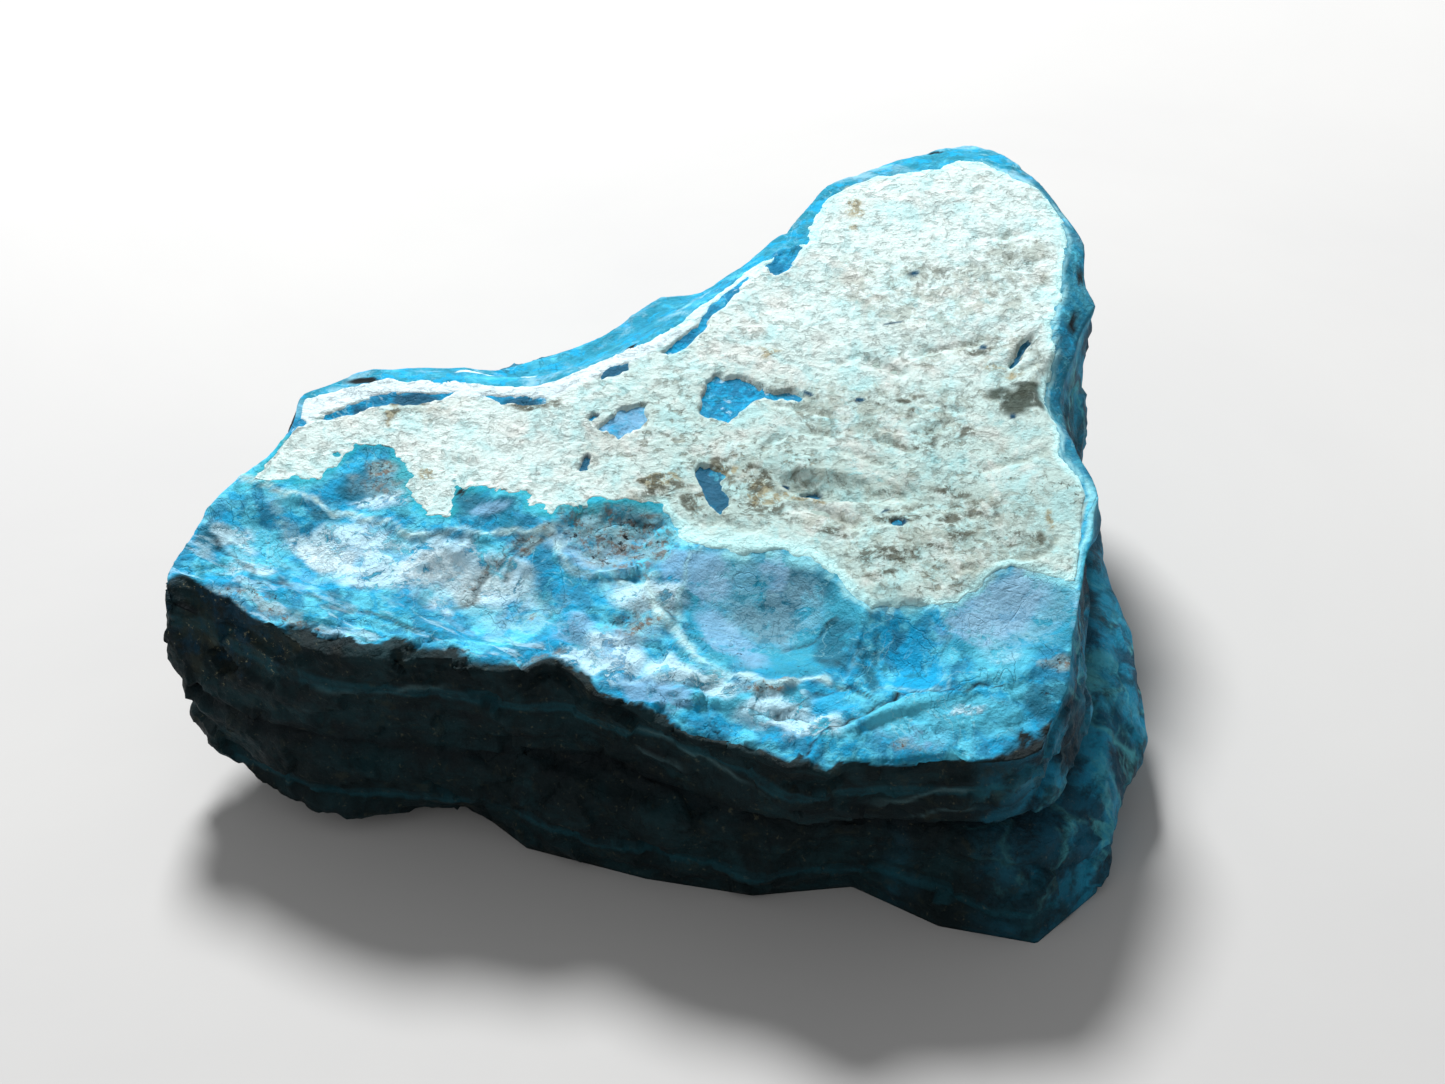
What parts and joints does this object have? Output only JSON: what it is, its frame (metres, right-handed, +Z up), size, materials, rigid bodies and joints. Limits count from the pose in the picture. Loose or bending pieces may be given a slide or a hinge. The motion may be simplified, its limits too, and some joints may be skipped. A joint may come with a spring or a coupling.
{
  "type": "raw chrysocolla specimen",
  "caption": "Wedge-shaped raw blue stone with a chalky pale crust on its upper face, an open seam round its wall and a flat underside to rest on.",
  "frame": {"origin": "on the surface the stone rests on, under the middle of its bounding box", "axes": "+Z up; +X from the narrow left tip to the broad right side; -Y is the broken front, +Y the peak at the back"},
  "size_m": [0.065, 0.0569, 0.0246],
  "materials": {
    "stone": "raw banded blue copper silicate, waxy where broken, with a chalky pale mint crust"
  },
  "bodies": {
    "root": {"stone": "stone"}
  },
  "joints": []
}
